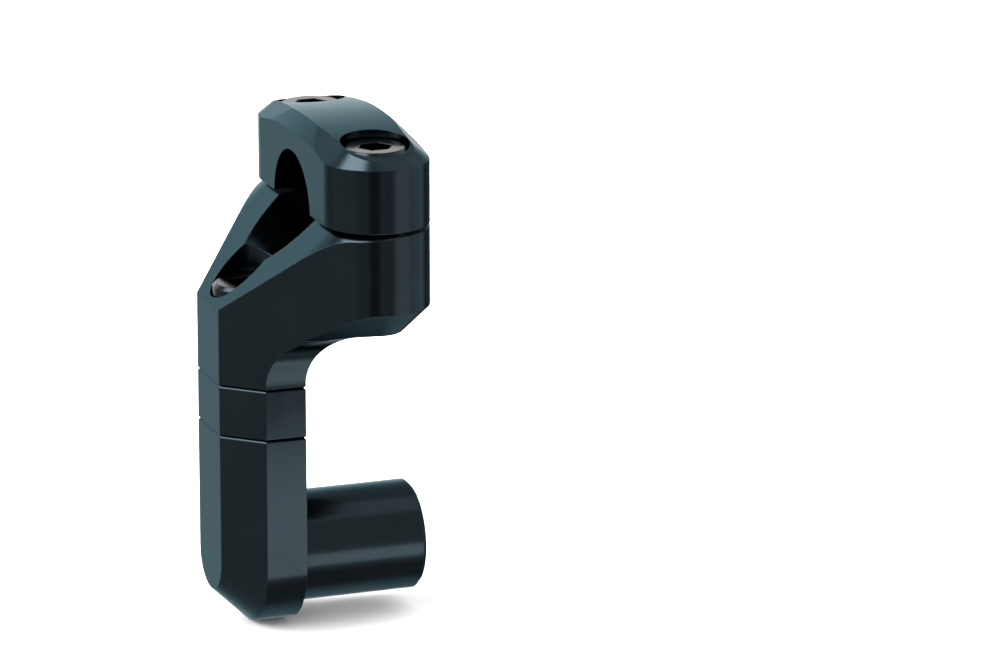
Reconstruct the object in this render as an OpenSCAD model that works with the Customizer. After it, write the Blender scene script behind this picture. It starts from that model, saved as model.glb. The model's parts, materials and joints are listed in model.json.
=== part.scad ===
// Motorcycle handlebar riser. A lower arm carries a round stub, which sits in the
// bar clamp of the motorcycle. A spacer block and an upper bracket stand on the arm,
// and a two-screw cap closes the bracket round the handlebar, higher and further back.
// Millimetres. The origin is on the stub axis in the inner face of the arm.
// +X runs along the stub to its free end, and so along the bar, +Y back and +Z up.

/* [Stub] */
// Diameter of the round stub
stub_d = 22.2; // [20:0.1:24]
// Length of the stub from the inner face of the arm
stub_l = 26.5; // [20:0.5:40]
// Bevel round the free end of the stub
stub_bevel = 0.8; // [0.4:0.1:1.5]

/* [Arm and spacer] */
// Width of the arm, front to rear
arm_w = 28.2; // [26:0.2:30]
// Thickness of the arm, along the stub
arm_t = 15.7; // [14.5:0.1:17]
// Width of the arm's outer face, between its bevels
flat_w = 14; // [12:0.5:16]
// Height of the top of the arm above the stub axis
arm_h = 26.6; // [22:1:40]
// Height of the spacer block
spacer_h = 10.3; // [5:1:30]
// Bevel round the end of a block at a joint
joint_bevel = 0.35; // [0.2:0.05:0.8]

/* [Upper bracket] */
// Height of the neck, from the spacer to the underside of the clamp
neck_h = 12.2; // [10:0.5:16]
// Radius of the fillets from the neck out to the clamp
neck_r = 11.4; // [6:0.2:12]
// Height from the underside of the clamp to the bar axis
base_h = 21.6; // [20:0.2:26]
// Bevel round the underside of the clamp
base_bevel = 5.4; // [3:0.2:6]
// Turn of the bevel where it runs from the clamp's ends towards the neck
bevel_turn = 16; // [8:1:24]
// Fall of the slope from the clamp down to the arm's outer face, in degrees
slope_a = 43; // [40:0.5:46]
// Distance of the slope's top edge from the clamp's outer face
slope_in = 1.3; // [0.8:0.1:2]
// Bevel round the top of the bracket at its front and rear
lip_bevel = 0.3; // [0.2:0.1:0.6]

/* [Clamp] */
// Diameter of the handlebar
bar_d = 22.2; // [20:0.1:24]
// Length of the clamp along the bar
clamp_l = 21.4; // [20:0.1:24]
// Distance from the inner face of the arm to the middle of the clamp
clamp_off = 12.8; // [11.8:0.1:14]
// Distance between the two cap screws
screw_pitch = 39.2; // [38:0.2:42]
// Gap between the cap and the bracket
split_gap = 0.8; // [0.4:0.1:1.5]
// Height of the crown of the cap above the bar axis
crown_h = 17.9; // [17:0.1:22]
// Radius of the arch over the cap
crown_r = 120; // [80:5:200]
// Bevel along the sides of the cap
cap_bevel = 2.8; // [2:0.1:3.6]
// Height above the bar axis where the bevels round the cap's ends begin
end_bevel_h = 13.1; // [12.4:0.1:14]
// Rise of those bevels towards the screws, in degrees
end_bevel_a = 40; // [34:1:46]
// Turn of those bevels where they run out along the sides, in degrees
cap_turn = 12; // [8:1:20]

/* [Screws] */
// Thread diameter of the screws
screw_d = 8; // [6:0.5:8]
// Diameter of the screw heads
head_d = 13; // [11:0.5:13]
// Height of the screw heads
head_h = 8; // [6:0.5:9]
// Width across flats of the hexagon socket
socket_w = 6; // [4:0.5:6]
// Depth of the hexagon socket
socket_h = 4; // [3:0.5:5]
// Bevel round the top of a screw head
head_bevel = 0.7; // [0.3:0.1:1]
// Length of the cap screws below their heads
cap_screw_l = 25; // [18:1:26]
// Length of the neck screw below its head
neck_screw_l = 35; // [30:1:44]
// Height of the cap screws' seat above the bar axis
cap_seat_h = 7.5; // [5:0.5:9]
// Height of the neck screw's seat above the spacer
neck_seat_h = 11; // [10:0.5:14]

/* [Dowels] */
// Diameter of the dowel pins between the blocks
dowel_d = 5; // [3:0.5:5]
// Length of the dowel pins
dowel_l = 10; // [6:0.5:12]
// Distance between the two dowels of a joint
dowel_pitch = 17; // [15:0.5:18]

/* [Clearances] */
// Play across the diameter of a plain screw hole
hole_play = 0.8; // [0.3:0.1:1]
// Play across the diameter of a threaded hole, over the thread's outside
thread_play = 0.1; // [0.05:0.05:0.2]
// Play across the diameter between a screw head and its counterbore
head_play = 0.8; // [0.4:0.1:1.2]
// Play across the diameter of a dowel hole
dowel_play = 0.04; // [0.02:0.02:0.1]
// Room below the end of a screw or dowel
end_room = 2; // [1:0.5:3]

/* [Hidden] */
$fn = 96;
far = 200;
cut = 0.1;
over = 1;
graze = 0.01;
black = [0.13, 0.14, 0.17];
steel = [0.08, 0.08, 0.09];

// Heights of the joints, from the stub axis up
spacer_z = arm_h;
neck_z = spacer_z + spacer_h;
base_z = neck_z + neck_h;
bar_z = base_z + base_h;
base_top = bar_z - split_gap / 2;
cap_z = bar_z + split_gap / 2;
crown_z = bar_z + crown_h;
end_bevel_z = bar_z + end_bevel_h;
cap_seat_z = bar_z + cap_seat_h;
neck_seat_z = neck_z + neck_seat_h;

// The clamp in plan: a straight middle with a round end about each cap screw
end_r = clamp_l / 2;
screw_y = screw_pitch / 2;
clamp_out = clamp_off - end_r;
clamp_in = clamp_off + end_r;

// The sides of the wedge run from the arm's outer face to the clamp's round ends, and the
// bevels on the arm's outer edges lie in the same planes. They all but graze the ends: they
// enter them by a hair, so that the two walls meet in one clean edge.
flat_y = flat_w / 2;
run_x = clamp_off + arm_t;
run_y = screw_y - flat_y;
touch_r = end_r - graze;
side_a = atan2(run_y, run_x) + asin(touch_r / norm([run_x, run_y]));
side = arm_t * sin(side_a) + flat_y * cos(side_a);
arm_bevel = (arm_w / 2 - flat_y) / tan(side_a);
touch_x = clamp_off - touch_r * sin(side_a);
touch_y = screw_y + touch_r * cos(side_a);

neck_x = -arm_t / 2;
neck_fillet = min(neck_r, neck_h - joint_bevel);

// The arm's section between two heights
module block(z0, z1) {
    translate([0, 0, z0])
        linear_extrude(z1 - z0)
            polygon([
                [0, -arm_w / 2], [0, arm_w / 2], [arm_bevel - arm_t, arm_w / 2], [-arm_t, flat_y],
                [-arm_t, -flat_y], [arm_bevel - arm_t, -arm_w / 2]
            ]);
}

// The bevel round a block's end at the joint at height z, below the joint or above it: one
// cutter along each wall of the arm's section, given by the wall's turn and its distance
// from the origin. The slanting walls' cutters go a hair deeper, so that the bevels cross
// cleanly at the corners.
module joint_bevels(z, above) {
    walls = [
        [0, 0], [90, arm_w / 2], [90 + side_a, side - graze], [180, arm_t],
        [270 - side_a, side - graze], [270, arm_w / 2]
    ];
    translate([0, 0, z])
        mirror([0, 0, above])
            for (wall = walls)
                rotate([0, 0, wall[0]])
                    rotate([90, 0, 0])
                        linear_extrude(2 * far, center = true)
                            polygon([
                                [wall[1] - joint_bevel - over, over],
                                [wall[1] + over, -joint_bevel - over], [wall[1] + over, over]
                            ]);
}

// A vertical hole
module hole(d, x, y, z0, z1) {
    translate([x, y, z0])
        cylinder(d = d, h = z1 - z0);
}

// The lower half of the arm's round foot, with the outer bevel carried round it
module foot() {
    rotate([0, 90, 0])
        rotate([0, 0, -90])
            rotate_extrude(angle = 180)
                polygon([
                    [0, -arm_t], [flat_y, -arm_t],
                    [arm_w / 2, arm_bevel - arm_t], [arm_w / 2, 0], [0, 0]
                ]);
}

module stub() {
    rotate([0, 90, 0])
        rotate_extrude()
            polygon([
                [0, -arm_t / 2], [stub_d / 2, -arm_t / 2], [stub_d / 2, stub_l - stub_bevel],
                [stub_d / 2 - stub_bevel, stub_l], [0, stub_l]
            ]);
}

module stub_arm() {
    color(black)
        difference() {
            union() {
                block(0, spacer_z);
                foot();
                stub();
            }
            joint_bevels(spacer_z, 0);
            hole(screw_d + thread_play, neck_x, 0,
                neck_seat_z - neck_screw_l - end_room, spacer_z + cut);
            dowel_holes(spacer_z);
        }
}

module spacer() {
    color(black)
        difference() {
            block(spacer_z, neck_z);
            joint_bevels(spacer_z, 1);
            joint_bevels(neck_z, 0);
            hole(screw_d + hole_play, neck_x, 0, spacer_z - cut, neck_z + cut);
            dowel_holes(spacer_z);
            dowel_holes(neck_z);
        }
}

// The holes for the two dowels across the joint at height z
module dowel_holes(z) {
    reach = dowel_l / 2 + end_room / 4;
    for (y = [-dowel_pitch / 2, dowel_pitch / 2])
        hole(dowel_d + dowel_play, neck_x, y, z - reach, z + reach);
}

// The clamp's outline in plan
module clamp_plan() {
    translate([clamp_out, -screw_y])
        square([clamp_l, screw_pitch]);
    for (y = [-screw_y, screw_y])
        translate([clamp_off, y])
            circle(end_r);
}

// The bracket's outline in plan: the clamp and the wedge out to the arm's outer face
module bracket_plan() {
    clamp_plan();
    polygon([
        [-arm_t, -flat_y], [touch_x, -touch_y], [clamp_off, -screw_y],
        [clamp_off, screw_y], [touch_x, touch_y], [-arm_t, flat_y]
    ]);
}

// The clamp base's section from a line at from out to its wall, with a 45 degree bevel
// under it. The bevel runs past the underside and the wall, so that it cuts both cleanly.
module base_profile(from) {
    foot_r = end_r - base_bevel - over;
    wall_r = end_r + over;
    polygon([
        [from, neck_z - over], [foot_r, neck_z - over], [foot_r, base_z - over],
        [wall_r, base_z + base_bevel + over], [wall_r, base_top + over], [from, base_top + over]
    ]);
}

// The base's bevelled shape: round about the cap screws, straight again from there
// towards the neck, and straight along the inner side
module base_form() {
    for (flip = [0, 1])
        mirror([0, flip, 0])
            translate([clamp_off, -screw_y, 0]) {
                rotate_extrude()
                    base_profile(0);
                rotate([0, 0, 180 - bevel_turn])
                    rotate([90, 0, 90])
                        linear_extrude(far)
                            base_profile(0);
            }
    translate([clamp_off, screw_y, 0])
        rotate([90, 0, 0])
            linear_extrude(screw_pitch)
                base_profile(-far);
}

// The room beside the neck: everything past a wall at 0 and below a ceiling at base_z,
// with the fillet between the two
module beside_neck() {
    low = neck_z - over;
    translate([0, low])
        square([far, base_z - neck_fillet - low]);
    translate([neck_fillet, low])
        square([far - neck_fillet, base_z - low]);
    translate([neck_fillet, base_z - neck_fillet])
        circle(neck_fillet);
}

// The room on the neck's inner side and at its front and rear, under the clamp
module neck_room() {
    rotate([90, 0, 0])
        linear_extrude(2 * far, center = true)
            beside_neck();
    for (turn = [0, 180])
        rotate([0, 0, turn])
            translate([0, arm_w / 2, 0])
                rotate([90, 0, 90])
                    linear_extrude(2 * far, center = true)
                        beside_neck();
}

// The bracket's roof: flat over the clamp, with a slope round it that runs on down to the
// arm's outer face. It lies off the clamp's middle, so the slope narrows to a fine bevel at
// the front and rear and leaves out the inner side.
module roof() {
    roof_x = clamp_off + slope_in - lip_bevel;
    for (y = [-screw_y, screw_y])
        translate([roof_x, y, 0])
            rotate_extrude()
                intersection() {
                    roof_profile();
                    square([far, 2 * far]);
                }
    translate([roof_x, screw_y, 0])
        rotate([90, 0, 0])
            linear_extrude(screw_pitch)
                roof_profile();
}

module roof_profile() {
    flat_r = end_r - lip_bevel;
    run = arm_t + clamp_off + slope_in;
    fall = run * tan(slope_a);
    polygon([
        [-flat_r, base_top], [-flat_r - run, base_top - fall], [-flat_r - run, neck_z - over],
        [flat_r + run, neck_z - over], [flat_r + run, base_top - fall], [flat_r, base_top]
    ]);
}

module bracket_body() {
    difference() {
        intersection() {
            translate([0, 0, neck_z])
                linear_extrude(base_top - neck_z)
                    bracket_plan();
            base_form();
            roof();
        }
        neck_room();
        joint_bevels(neck_z, 1);
    }
}

module upper_bracket() {
    color(black)
        difference() {
            bracket_body();
            bar_bore();
            hole(screw_d + hole_play, neck_x, 0, neck_z - cut, bar_z);
            hole(head_d + head_play, neck_x, 0, neck_seat_z, bar_z);
            for (y = [-screw_y, screw_y])
                hole(screw_d + thread_play, clamp_off, y,
                    cap_seat_z - cap_screw_l - end_room, base_top + cut);
            dowel_holes(neck_z);
        }
}

module bar_bore() {
    translate([0, 0, bar_z])
        rotate([0, 90, 0])
            cylinder(d = bar_d, h = 2 * far, center = true);
}

// The arch over the cap: a wide disc on its edge, with both rims bevelled
module arch() {
    translate([clamp_off, 0, crown_z - crown_r])
        rotate([0, 90, 0])
            rotate_extrude($fn = 360)
                polygon([
                    [0, -end_r - over], [crown_r - cap_bevel - over, -end_r - over],
                    [crown_r, cap_bevel - end_r], [crown_r, end_r - cap_bevel],
                    [crown_r - cap_bevel - over, end_r + over], [0, end_r + over]
                ]);
}

// The cutter's section for an end bevel, from the bevel's face outwards
module end_bevel_profile() {
    polygon([
        [0, end_bevel_z + end_r * tan(end_bevel_a)],
        [end_r + over, end_bevel_z - over * tan(end_bevel_a)],
        [end_r + over, end_bevel_z + end_r * tan(end_bevel_a)]
    ]);
}

// The room round the cap's front end: a bevel about the screw, which runs out straight
// along both sides
module end_bevel_room() {
    translate([clamp_off, -screw_y, 0]) {
        rotate([0, 0, 180 + cap_turn])
            rotate_extrude(angle = 180 - 2 * cap_turn)
                end_bevel_profile();
        for (flip = [0, 1])
            mirror([flip, 0, 0])
                rotate([0, 0, 180 + cap_turn])
                    rotate([90, 0, 0])
                        translate([0, 0, -over])
                            linear_extrude(screw_pitch)
                                end_bevel_profile();
    }
}

module clamp_cap() {
    color(black)
        difference() {
            intersection() {
                translate([0, 0, cap_z])
                    linear_extrude(crown_h)
                        clamp_plan();
                arch();
            }
            for (flip = [0, 1])
                mirror([0, flip, 0])
                    end_bevel_room();
            bar_bore();
            for (y = [-screw_y, screw_y]) {
                hole(screw_d + hole_play, clamp_off, y, bar_z, crown_z);
                hole(head_d + head_play, clamp_off, y, cap_seat_z, crown_z + cut);
            }
        }
}

// A socket head screw with its seat at the origin and its shank downwards
module screw(length) {
    tip = screw_d / 8;
    color(steel)
        difference() {
            rotate_extrude()
                polygon([
                    [0, -length], [screw_d / 2 - tip, -length], [screw_d / 2, tip - length],
                    [screw_d / 2, 0], [head_d / 2, 0], [head_d / 2, head_h - head_bevel],
                    [head_d / 2 - head_bevel, head_h], [0, head_h]
                ]);
            translate([0, 0, head_h - socket_h])
                cylinder(d = socket_w / cos(30), h = socket_h + cut, $fn = 6);
        }
}

module cap_screw_front() {
    translate([clamp_off, -screw_y, cap_seat_z])
        screw(cap_screw_l);
}

module cap_screw_rear() {
    translate([clamp_off, screw_y, cap_seat_z])
        screw(cap_screw_l);
}

module neck_screw() {
    translate([neck_x, 0, neck_seat_z])
        screw(neck_screw_l);
}

// A dowel pin across the joint at height z, with its ends bevelled
module dowel(y, z) {
    tip = dowel_d / 10;
    color("silver")
        translate([neck_x, y, z])
            rotate_extrude()
                polygon([
                    [0, -dowel_l / 2], [dowel_d / 2 - tip, -dowel_l / 2],
                    [dowel_d / 2, tip - dowel_l / 2], [dowel_d / 2, dowel_l / 2 - tip],
                    [dowel_d / 2 - tip, dowel_l / 2], [0, dowel_l / 2]
                ]);
}

module lower_dowel_front() { dowel(-dowel_pitch / 2, spacer_z); }
module lower_dowel_rear() { dowel(dowel_pitch / 2, spacer_z); }
module upper_dowel_front() { dowel(-dowel_pitch / 2, neck_z); }
module upper_dowel_rear() { dowel(dowel_pitch / 2, neck_z); }

stub_arm();
spacer();
upper_bracket();
clamp_cap();
cap_screw_front();
cap_screw_rear();
neck_screw();
lower_dowel_front();
lower_dowel_rear();
upper_dowel_front();
upper_dowel_rear();
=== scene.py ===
# %% [markdown]
# # A motorcycle bar riser in Blender
# The riser is a stack of black anodised aluminium blocks. A round stub sits in the
# motorcycle's own bar clamp, and a cap with two screws holds the handlebar above it. The
# blocks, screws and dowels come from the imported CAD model, which is already at its real
# size. This script gives them their finish, with the tool marks and the broken edges that
# are too fine for the CAD model, and lights the whole like a catalogue picture on white.

# %% Load the model
import json
import math

import bmesh
import bpy
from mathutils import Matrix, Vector


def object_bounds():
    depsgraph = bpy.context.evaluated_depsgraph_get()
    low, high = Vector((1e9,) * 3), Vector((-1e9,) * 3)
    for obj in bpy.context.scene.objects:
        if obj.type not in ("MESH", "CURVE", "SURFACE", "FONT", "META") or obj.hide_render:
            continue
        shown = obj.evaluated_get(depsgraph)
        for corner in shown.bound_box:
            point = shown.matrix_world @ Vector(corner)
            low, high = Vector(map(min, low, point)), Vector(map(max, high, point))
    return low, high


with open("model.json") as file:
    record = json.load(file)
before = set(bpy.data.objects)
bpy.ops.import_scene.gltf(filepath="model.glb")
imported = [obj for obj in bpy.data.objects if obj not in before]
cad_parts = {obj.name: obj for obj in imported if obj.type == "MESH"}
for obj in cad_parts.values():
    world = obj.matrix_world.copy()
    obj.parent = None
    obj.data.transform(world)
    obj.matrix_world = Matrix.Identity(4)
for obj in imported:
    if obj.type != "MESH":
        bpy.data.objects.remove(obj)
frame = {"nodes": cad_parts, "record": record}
nodes = frame["nodes"]
cad_low, cad_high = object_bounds()
MM = 0.001
print("nodes:", ", ".join(sorted(nodes)))
print("CAD box in mm:", [round(v / MM, 1) for v in cad_high - cad_low])

# %% [markdown]
# The camera comes first, because every finish is judged through it. A catalogue picture
# is taken from far away with a long lens, which keeps the upright edges parallel. The
# camera's place is worked out from three things: the direction it looks in, its distance
# from the middle of the stub's root, and where that point falls in the picture.

# %% Camera
TURN = math.radians(18.2)
TILT = math.radians(17.6)
DISTANCE = 1.25
PIXELS_PER_MM = 4.967
IMAGE_W, IMAGE_H = 1000, 668
SENSOR_MM = 36
VIEW_END = 20
STUB_ROOT_AT = (283.0, 543.6)


def add_camera():
    forward = Vector((
        math.sin(TURN) * math.cos(TILT), math.cos(TURN) * math.cos(TILT), -math.sin(TILT)
    ))
    right = Vector((math.cos(TURN), -math.sin(TURN), 0))
    up = right.cross(forward)
    focal_px = PIXELS_PER_MM / MM * DISTANCE
    aim = (
        forward * focal_px
        + right * (IMAGE_W / 2 - STUB_ROOT_AT[0])
        - up * (IMAGE_H / 2 - STUB_ROOT_AT[1])
    ).normalized()
    data = bpy.data.cameras.new("catalogue_camera")
    data.sensor_width = SENSOR_MM
    data.lens = data.sensor_width * focal_px / IMAGE_W
    data.clip_end = VIEW_END
    camera = bpy.data.objects.new("catalogue_camera", data)
    camera.location = -forward * DISTANCE
    camera.rotation_euler = aim.to_track_quat("-Z", "Y").to_euler()
    bpy.context.scene.collection.objects.link(camera)
    bpy.context.scene.camera = camera
    print("lens in mm:", round(data.lens, 1))


add_camera()

# %% [markdown]
# Colours are written as the hex values a paint or screen chart gives. Blender's shaders
# work in linear light, so one function converts them. A second small function adds a
# shader node with its settings and links, which keeps each material short enough to read.
# Most of what noise returns lies between NOISE_LOW and NOISE_HIGH, so those two are spread
# over the range of roughness that a finish has.

# %% Helpers for materials
NOISE_LOW, NOISE_HIGH = 0.3, 0.7


def linear(hex_colour):
    def channel(text):
        value = int(text, 16) / 255
        return value / 12.92 if value <= 0.04045 else ((value + 0.055) / 1.055) ** 2.4
    return [channel(hex_colour[i:i + 2]) for i in (1, 3, 5)] + [1]


def add_node(tree, kind, settings=None, inputs=None):
    node = tree.nodes.new(kind)
    for name, value in (settings or {}).items():
        setattr(node, name, value)
    for name, value in (inputs or {}).items():
        if isinstance(value, bpy.types.NodeSocket):
            tree.links.new(value, node.inputs[name])
        else:
            node.inputs[name].default_value = value
    return node


def new_material(name, colour, metallic, roughness):
    material = bpy.data.materials.new(name)
    material.use_nodes = True
    shader = material.node_tree.nodes["Principled BSDF"]
    shader.inputs["Base Color"].default_value = linear(colour)
    shader.inputs["Metallic"].default_value = metallic
    shader.inputs["Roughness"].default_value = roughness
    return material, material.node_tree, shader


def stretched_noise(tree, size_mm, stretch, detail=2.0):
    """Noise whose grains are size_mm across, stretched by a factor along each axis."""
    place = add_node(tree, "ShaderNodeTexCoord")
    scale = [1 / (size_mm * MM * s) for s in stretch]
    mapping = add_node(tree, "ShaderNodeMapping", inputs={
        "Vector": place.outputs["Object"], "Scale": scale})
    return add_node(tree, "ShaderNodeTexNoise", inputs={
        "Vector": mapping.outputs["Vector"], "Scale": 1.0, "Detail": detail})


def ramp(tree, source, low, high, value_low, value_high):
    return add_node(tree, "ShaderNodeMapRange", inputs={
        "Value": source, "From Min": low, "From Max": high,
        "To Min": value_low, "To Max": value_high}).outputs["Result"]


def vary_roughness(tree, shader, noise, smooth, dull):
    rough = ramp(tree, noise.outputs["Fac"], NOISE_LOW, NOISE_HIGH, smooth, dull)
    tree.links.new(rough, shader.inputs["Roughness"])


# %% [markdown]
# No real edge is perfectly sharp: the blocks are tumbled before they are dyed, and the
# screws are forged. The Bevel node rounds the edges for the light alone, so that each one
# catches its own thin line, and leaves the CAD mesh as it is. It passes its normal on to
# the tool marks.

# %% Broken edges
BLOCK_EDGE_MM = 0.2
SCREW_EDGE_MM = 0.35
EDGE_SAMPLES = 6
MARK_DEPTH = 0.02 * MM


def broken_edge(tree, radius_mm):
    edge = add_node(tree, "ShaderNodeBevel", {"samples": EDGE_SAMPLES}, {
        "Radius": radius_mm * MM})
    return edge.outputs["Normal"]


def add_marks(tree, shader, height, strength, edge_mm):
    bump = add_node(tree, "ShaderNodeBump", inputs={
        "Strength": strength, "Distance": MARK_DEPTH, "Height": height,
        "Normal": broken_edge(tree, edge_mm)})
    tree.links.new(bump.outputs["Normal"], shader.inputs["Normal"])


# %% [markdown]
# **Black anodised aluminium.** The blocks are milled, blasted very finely and dyed black
# in the oxide layer. The clear oxide over black metal gives a satin sheen with a cold,
# slightly green-blue tone: nearly black where it reflects a flag, slate grey where it
# reflects a softbox or is seen at a low angle. The side of an end mill leaves faint upright
# lines on the blocks, and the lathe leaves rings round the stub. Both are too fine to draw
# one by one, so noise is stretched along the tool's path. The stub's place picks the rings:
# it is all that lies right of the arm's inner face, at x = 0, and no higher than its top.

# %% Anodised aluminium
DYE, DYE_DARK, DYE_LIGHT = "#1D2529", "#1A2124", "#20282C"
DYE_AT_LOW_ANGLE = "#CBDEE5"
DYE_CLOUD_MM = 9
MILLED_MM, TURNED_MM = 0.35, 0.3
LINE_STRETCH = 30
ANODISED_SMOOTH, ANODISED_DULL = 0.17, 0.22
LINE_STRENGTH = 0.12
FACE_BLEND = 0.1 * MM
TOP_BLEND = 1.0 * MM
STUB_TOP = frame["record"]["mounts"][0]["dims"]["r_mm"] * MM


def stub_mask(tree):
    place = add_node(tree, "ShaderNodeTexCoord")
    axes = add_node(tree, "ShaderNodeSeparateXYZ", inputs={
        "Vector": place.outputs["Object"]})
    right_of_arm = ramp(tree, axes.outputs["X"], 0.0, FACE_BLEND, 0.0, 1.0)
    low = ramp(tree, axes.outputs["Z"], STUB_TOP, STUB_TOP + TOP_BLEND, 1.0, 0.0)
    return add_node(tree, "ShaderNodeMath", {"operation": "MULTIPLY"}, {
        0: right_of_arm, 1: low}).outputs[0]


def anodised_aluminium():
    material, tree, shader = new_material("black_anodised_aluminium", DYE, 1.0, 0.2)
    shader.inputs["Specular Tint"].default_value = linear(DYE_AT_LOW_ANGLE)
    cloud = stretched_noise(tree, DYE_CLOUD_MM, (1, 1, 1), 3.0)
    vary_roughness(tree, shader, cloud, ANODISED_SMOOTH, ANODISED_DULL)
    tint = add_node(tree, "ShaderNodeMix", {"data_type": "RGBA"}, {
        "Factor": cloud.outputs["Fac"], "A": linear(DYE_DARK), "B": linear(DYE_LIGHT)})
    tree.links.new(tint.outputs["Result"], shader.inputs["Base Color"])
    milled = stretched_noise(tree, MILLED_MM, (1, 1, LINE_STRETCH))
    turned = stretched_noise(tree, TURNED_MM, (1, LINE_STRETCH, LINE_STRETCH))
    lines = add_node(tree, "ShaderNodeMix", {"data_type": "FLOAT"}, {
        "Factor": stub_mask(tree), "A": milled.outputs["Fac"], "B": turned.outputs["Fac"]})
    add_marks(tree, shader, lines.outputs["Result"], LINE_STRENGTH, BLOCK_EDGE_MM)
    return material


# %% [markdown]
# **Black steel screws.** Socket head screws are forged and blackened in a hot oxide
# bath. The skin is thinner and glossier than anodising, and slightly uneven.

# %% Blackened steel
OXIDE = "#1C1F23"
OXIDE_CLOUD_MM = 1.2
OXIDE_SMOOTH, OXIDE_DULL = 0.12, 0.2
OXIDE_STRENGTH = 0.1


def blackened_steel():
    material, tree, shader = new_material("blackened_steel", OXIDE, 1.0, 0.16)
    cloud = stretched_noise(tree, OXIDE_CLOUD_MM, (1, 1, 1), 4.0)
    vary_roughness(tree, shader, cloud, OXIDE_SMOOTH, OXIDE_DULL)
    add_marks(tree, shader, cloud.outputs["Fac"], OXIDE_STRENGTH, SCREW_EDGE_MM)
    return material


# %% [markdown]
# **Ground steel dowels.** The dowels sit unseen across the joints between the blocks.
# Centreless grinding leaves fine rings round a bright pin.

# %% Ground steel
BARE_STEEL = "#B4B6B8"
RING_MM, RING_STRETCH = 0.15, 20
GROUND_SMOOTH, GROUND_DULL = 0.2, 0.32


def ground_steel():
    material, tree, shader = new_material("ground_steel", BARE_STEEL, 1.0, 0.25)
    rings = stretched_noise(tree, RING_MM, (RING_STRETCH, RING_STRETCH, 1))
    vary_roughness(tree, shader, rings, GROUND_SMOOTH, GROUND_DULL)
    return material


# %% [markdown]
# Each CAD node gets its material in its one slot. The mesh itself stays as it is.

# %% Dress the CAD nodes
SCREWS = ("cap_screw_front", "cap_screw_rear", "neck_screw")
BLOCKS = ("stub_arm", "spacer", "upper_bracket", "clamp_cap")


def dress():
    anodised = anodised_aluminium()
    black_steel = blackened_steel()
    bright_steel = ground_steel()
    for name, node in nodes.items():
        finish = bright_steel
        if name in BLOCKS:
            finish = anodised
        if name in SCREWS:
            finish = black_steel
        node.data.materials.clear()
        node.data.materials.append(finish)
    print("dressed", len(nodes), "nodes")


dress()

# %% [markdown]
# The studio is a white floor in a white room, and the camera sees that white alone round
# the part. Black metal shows little else than its surroundings, so the room that the metal
# and the floor see has more in it. Two softboxes on the left are by far the brightest, for
# the bevels and broken edges that face up and left. Weaker panels stand behind, above and
# on the right, for the faces seen at a low angle and the upright streaks on the round ends.
# Black flags take light away, most of them below the horizon. Each panel is a direction,
# half its width and half the width of its soft edge in degrees, and how much it adds to
# the white of the room. A flag has a minus sign.

# %% Studio panels
WHITE = "#FFFFFF"
ROOM = 1.0
PANELS = (
    ("backdrop, right", (0.30, 0.94, 0.17), 16, 11, 0.35),
    ("flag, high behind", (0.30, 0.78, 0.55), 16, 10, -0.1),
    ("backdrop, left", (-0.35, 0.88, 0.32), 18, 8, 0.9),
    ("flag, left, back", (-0.65, 0.70, -0.30), 14, 6, -0.4),
    ("flag, right, back", (0.75, 0.60, -0.25), 22, 8, -0.85),
    ("softbox, left", (-0.41, 0.20, 0.89), 16, 5, 15.0),
    ("softbox, far left", (-0.85, 0.05, 0.50), 20, 8, 7.8),
    ("softbox, over", (0.30, -0.14, 0.94), 16, 5, 1.0),
    ("softbox, right", (0.75, 0.10, 0.65), 18, 8, 1.0),
    ("front left, high", (-0.65, -0.55, 0.52), 22, 10, 1.0),
    ("front right, high", (0.80, -0.45, 0.40), 20, 10, 1.0),
    ("streak, right", (0.62, -0.72, -0.30), 17, 5, 1.3),
    ("side, right", (0.93, -0.16, -0.30), 19, 6, 0.75),
    ("flag by the camera", (-0.33, -0.89, -0.30), 12, 5, -0.78),
    ("flag, middle", (0.20, -0.93, -0.30), 10, 5, -0.3),
    ("flag, left", (-0.71, -0.633, -0.30), 8, 4, -0.3),
    ("flag, low", (0.30, -0.40, -0.87), 22, 6, -0.5),
    ("flag under the part", (0.35, 0.72, -0.60), 18, 8, -0.5),
)


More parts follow.
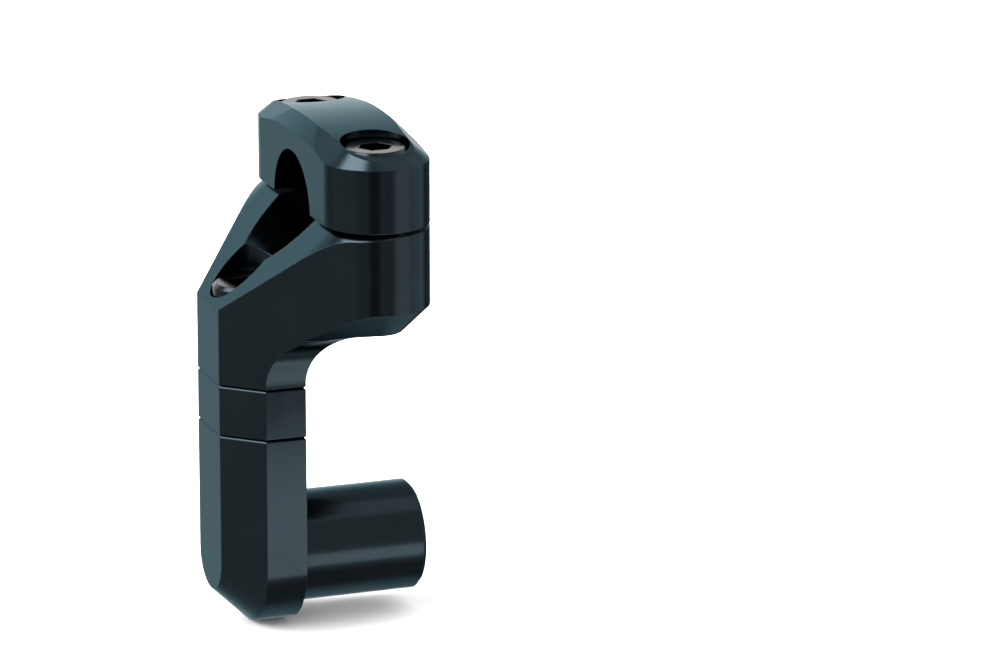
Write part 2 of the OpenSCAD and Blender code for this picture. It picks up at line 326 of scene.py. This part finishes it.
def add_world():
    world = bpy.data.worlds.new("studio")
    world.use_nodes = True
    bpy.context.scene.world = world
    tree = world.node_tree
    direction = add_node(tree, "ShaderNodeTexCoord").outputs["Generated"]
    total = add_node(tree, "ShaderNodeValue").outputs[0]
    total.default_value = ROOM
    for _, towards, spread, soft, strength in PANELS:
        dot = add_node(tree, "ShaderNodeVectorMath", {"operation": "DOT_PRODUCT"}, {
            0: direction, 1: Vector(towards).normalized()})
        panel = add_node(tree, "ShaderNodeMapRange", {"interpolation_type": "SMOOTHSTEP"}, {
            "Value": dot.outputs["Value"],
            "From Min": math.cos(math.radians(spread + soft)),
            "From Max": math.cos(math.radians(spread - soft)),
            "To Min": 0.0, "To Max": strength})
        total = add_node(tree, "ShaderNodeMath", {"operation": "ADD"}, {
            0: total, 1: panel.outputs["Result"]}).outputs[0]
    lit = add_node(tree, "ShaderNodeMath", {"operation": "MAXIMUM"}, {0: total, 1: 0.0})
    seen = add_node(tree, "ShaderNodeLightPath")
    shown = add_node(tree, "ShaderNodeMix", {"data_type": "FLOAT"}, {
        "Factor": seen.outputs["Is Camera Ray"], "A": lit.outputs[0], "B": ROOM})
    tree.nodes["Background"].inputs["Color"].default_value = linear(WHITE)
    tree.links.new(shown.outputs["Result"], tree.nodes["Background"].inputs["Strength"])
    print("studio panels:", len(PANELS))


add_world()

# %% [markdown]
# The floor is white paper, and takes the part's shadow. The metal's reflections leave it
# out, so that they show the room and its panels below the horizon too, as if the part hung
# clear of the floor. A lit card lies low in front of the part, unseen by the camera: it
# draws the light band along the stub and the pale front of the arm, and leaves the neck
# dark.

# %% Floor and card
FLOOR_SIZE = 4.0
FLOOR_GAP = 0.5 * MM
FLOOR_Z = cad_low.z - FLOOR_GAP
CARD_X, CARD_Y = (-0.020, 0.075), (-0.145, -0.032)
CARD_GLOW = 3.5


def add_floor():
    mesh = bmesh.new()
    bmesh.ops.create_grid(mesh, x_segments=1, y_segments=1, size=FLOOR_SIZE / 2)
    bmesh.ops.translate(mesh, verts=mesh.verts, vec=(0, 0, FLOOR_Z))
    data = bpy.data.meshes.new("studio_floor")
    mesh.to_mesh(data)
    mesh.free()
    floor = bpy.data.objects.new("studio_floor", data)
    floor.visible_glossy = False
    bpy.context.scene.collection.objects.link(floor)
    material, _, _ = new_material("white_paper", WHITE, 0.0, 0.9)
    data.materials.append(material)


def add_card():
    width, depth = CARD_X[1] - CARD_X[0], CARD_Y[1] - CARD_Y[0]
    data = bpy.data.lights.new("front_card", "AREA")
    data.shape = "RECTANGLE"
    data.size, data.size_y = width, depth
    data.energy = CARD_GLOW * width * depth * math.pi
    card = bpy.data.objects.new("front_card", data)
    card.location = (sum(CARD_X) / 2, sum(CARD_Y) / 2, cad_low.z)
    card.rotation_euler = (math.pi, 0, 0)
    card.visible_camera = False
    bpy.context.scene.collection.objects.link(card)


add_floor()
add_card()

# %% [markdown]
# The Standard view shows each colour as it is written.

# %% Looks
scene = bpy.context.scene
scene.view_settings.view_transform = "Standard"
